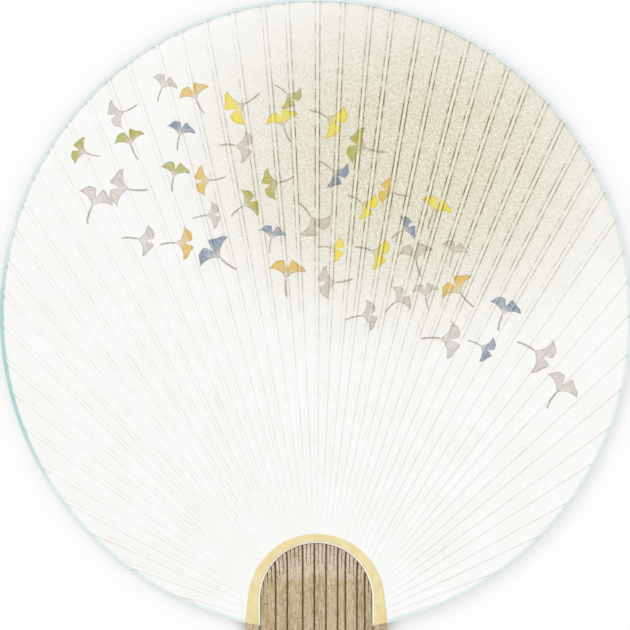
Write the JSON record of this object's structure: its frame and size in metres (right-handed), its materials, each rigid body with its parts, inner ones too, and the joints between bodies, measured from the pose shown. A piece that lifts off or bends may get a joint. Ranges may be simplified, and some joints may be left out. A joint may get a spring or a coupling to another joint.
{
  "type": "round paper fan",
  "caption": "Round flat hand fan: split bamboo ribs between two sheets of white paper, an arched window with straw-yellow trim, a bound edge and a slotted wooden handle.",
  "frame": {"origin": "centre of the bounding box in X and Y, on the flat back of the handle", "axes": "+X to the right of the front face, +Y from the handle to the top of the leaf, +Z out of the front face"},
  "size_m": [0.2454, 0.37, 0.008],
  "materials": {
    "bamboo": "split bamboo, matt, with straight grain",
    "front_paper": "white washi with fine fibres and a painted pattern",
    "back_paper": "plain white washi with fine fibres",
    "trim_paper": "straw-yellow paper, matt",
    "binding_paper": "pale blue-green paper, matt",
    "handle_wood": "smooth wood with straight grain, thin clear varnish"
  },
  "bodies": {
    "root": {"splint_01": "bamboo", "splint_02": "bamboo", "splint_03": "bamboo", "splint_04": "bamboo", "splint_05": "bamboo", "splint_06": "bamboo", "splint_07": "bamboo", "splint_08": "bamboo", "splint_09": "bamboo", "splint_10": "bamboo", "splint_11": "bamboo", "splint_12": "bamboo", "splint_13": "bamboo", "splint_14": "bamboo", "paper_front": "front_paper", "paper_back": "back_paper", "arch_trim_front": "trim_paper", "arch_trim_back": "trim_paper", "rim_binding": "binding_paper", "handle": "handle_wood"}
  },
  "joints": []
}
